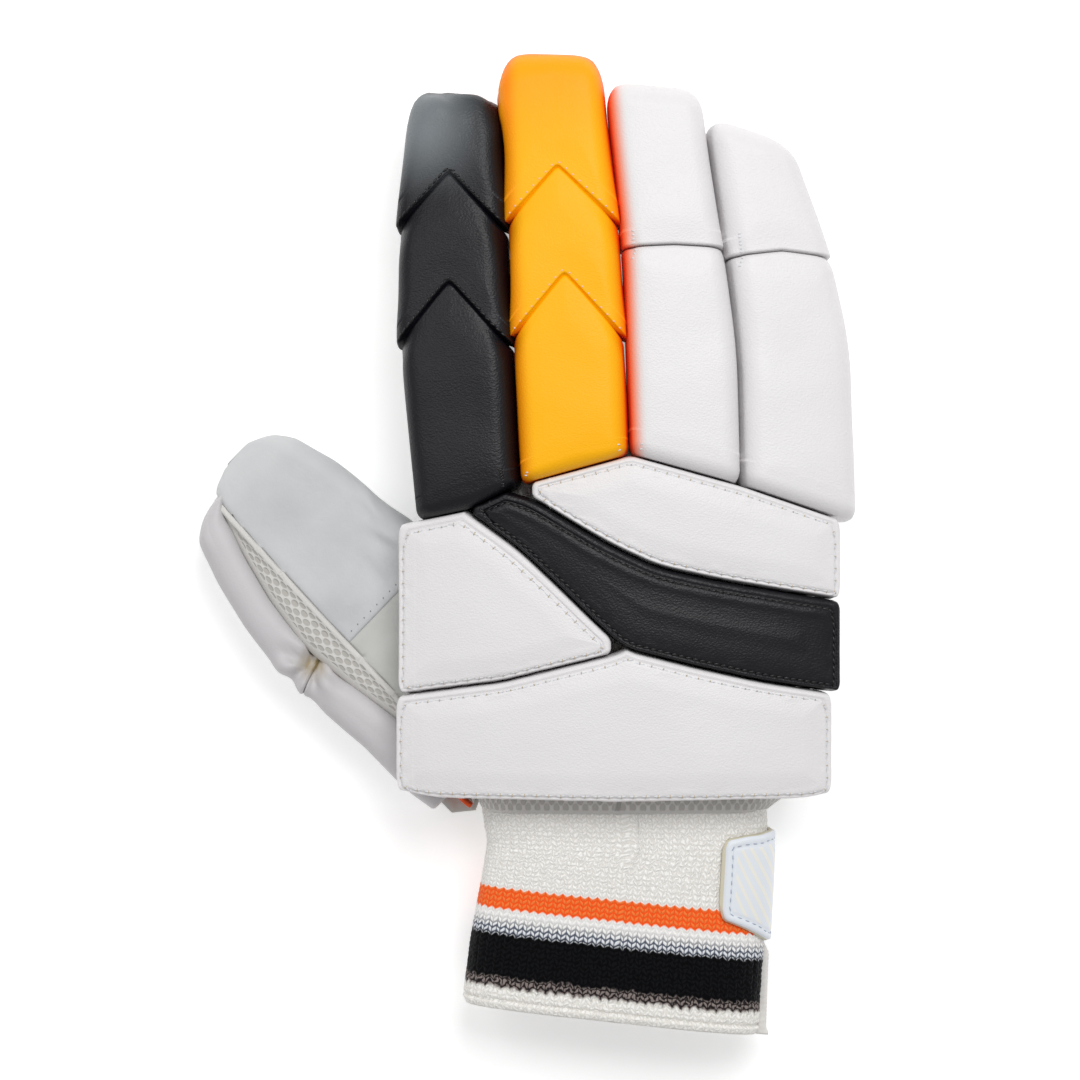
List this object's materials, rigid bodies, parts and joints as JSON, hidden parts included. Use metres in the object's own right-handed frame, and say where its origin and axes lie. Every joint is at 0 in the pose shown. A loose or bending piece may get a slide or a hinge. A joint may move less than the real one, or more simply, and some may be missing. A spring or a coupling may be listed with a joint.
{
  "type": "cricket batting glove",
  "caption": "Right-hand batting glove with padded finger rolls, pads over the back of the hand, a padded thumb guard and a knitted cuff that is open at the wrist.",
  "frame": {"origin": "under the middle of the palm, on the flat underside that the glove lies on", "axes": "+Z from the palm to the padded back, +Y along the fingers to their tips, -X the thumb's side"},
  "size_m": [0.1944, 0.2907, 0.0478],
  "materials": {
    "leather_pale": "matt",
    "mesh_white": "open mesh",
    "pu_white": "fine grain, satin",
    "pu_black": "fine grain, satin",
    "pu_amber": "fine grain, satin",
    "knit": "knitted",
    "tab_white": "smooth, satin",
    "orange_trim": "woven"
  },
  "bodies": {
    "root": {"palm_leather": "leather_pale", "back_mesh": "mesh_white", "web_leather": "leather_pale", "thumb_leather": "leather_pale", "thumb_gusset": "mesh_white", "knuckle_pad": "pu_white", "sweep_pad": "pu_black", "corner_pad": "pu_white", "wrist_pad": "pu_white", "thumb_guard_tip": "pu_white", "thumb_guard_base": "pu_white", "wrist_piping": "orange_trim", "knit_cuff": "knit", "closure_tab": "tab_white", "split_binding": "tab_white", "index_front": "leather_pale", "index_gusset": "mesh_white", "index_roll_base": "pu_black", "index_roll_middle": "pu_black", "index_roll_tip": "pu_black", "middle_front": "leather_pale", "middle_gusset": "mesh_white", "middle_roll_base": "pu_amber", "middle_roll_middle": "pu_amber", "middle_roll_tip": "pu_amber", "ring_front": "leather_pale", "ring_gusset": "mesh_white", "ring_roll_base": "pu_white", "ring_roll_tip": "pu_white", "little_front": "leather_pale", "little_gusset": "mesh_white", "little_roll_base": "pu_white", "little_roll_tip": "pu_white"}
  },
  "joints": []
}
